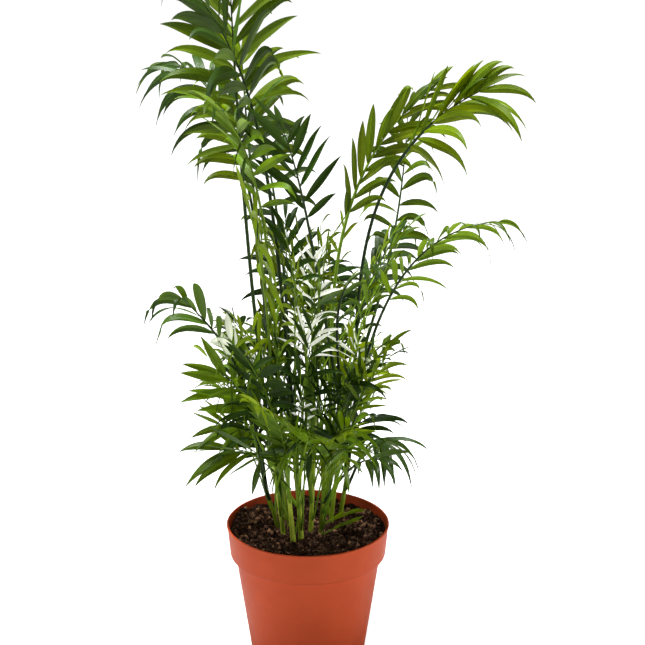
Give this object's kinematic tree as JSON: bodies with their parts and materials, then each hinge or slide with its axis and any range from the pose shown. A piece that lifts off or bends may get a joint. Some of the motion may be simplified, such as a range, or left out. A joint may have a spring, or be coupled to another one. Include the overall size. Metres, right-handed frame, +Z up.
{
  "type": "potted parlour palm",
  "caption": "Upright parlour palm with slim canes and arching feathery fronds, some of them cream-white, growing in a round tapered nursery pot.",
  "frame": {"origin": "centre of the pot's flat underside", "axes": "+Z up along the pot's axis, +X to the plant's right and -Y to its front, as the plant is seen from the front"},
  "size_m": [0.3998, 0.3866, 0.7716],
  "materials": {
    "pot": "satin terracotta-coloured polypropylene",
    "soil": "moist coarse peat, matt",
    "cane": "green sheathed cane, satin",
    "frond": "glossy green leaflets",
    "pale_frond": "cream-white leaflets with green veins"
  },
  "bodies": {
    "root": {"cane_a": "cane", "cane_b": "cane", "cane_c": "cane", "cane_d": "cane", "cane_e": "cane", "cane_f": "cane", "cane_g": "cane", "cane_h": "cane", "cane_i": "cane", "cane_j": "cane", "cane_k": "cane", "cane_l": "cane", "cane_m": "cane", "cane_n": "cane", "frond_back_1": "frond", "frond_back_2": "frond", "frond_back_3": "frond", "frond_back_4": "frond", "frond_back_5": "frond", "frond_back_6": "frond", "frond_back_7": "frond", "frond_front_1": "frond", "frond_front_2": "frond", "frond_front_3": "frond", "frond_front_low_1": "frond", "frond_front_low_2": "frond", "frond_front_low_3": "frond", "frond_front_low_4": "frond", "frond_left_back_1": "frond", "frond_left_back_2": "frond", "frond_left_front_1": "frond", "frond_left_low_1": "frond", "frond_left_low_2": "frond", "frond_left_low_3": "frond", "frond_left_low_4": "frond", "frond_left_low_5": "frond", "frond_left_tall_1": "frond", "frond_left_tall_2": "frond", "frond_left_tall_3": "frond", "frond_middle_fan": "frond", "frond_middle_left": "frond", "frond_middle_low": "frond", "frond_pale_1": "pale_frond", "frond_pale_2": "pale_frond", "frond_pale_3": "pale_frond", "frond_pale_4": "pale_frond", "frond_right_arch_1": "frond", "frond_right_arch_2": "frond", "frond_right_back_1": "frond", "frond_right_front_1": "frond", "frond_right_front_2": "frond", "frond_right_low_1": "frond", "frond_right_low_2": "frond", "frond_right_low_3": "frond", "frond_right_low_4": "frond", "frond_right_low_5": "frond", "frond_right_tall_1": "frond", "frond_right_tall_2": "frond", "pot": "pot", "soil": "soil"}
  },
  "joints": []
}
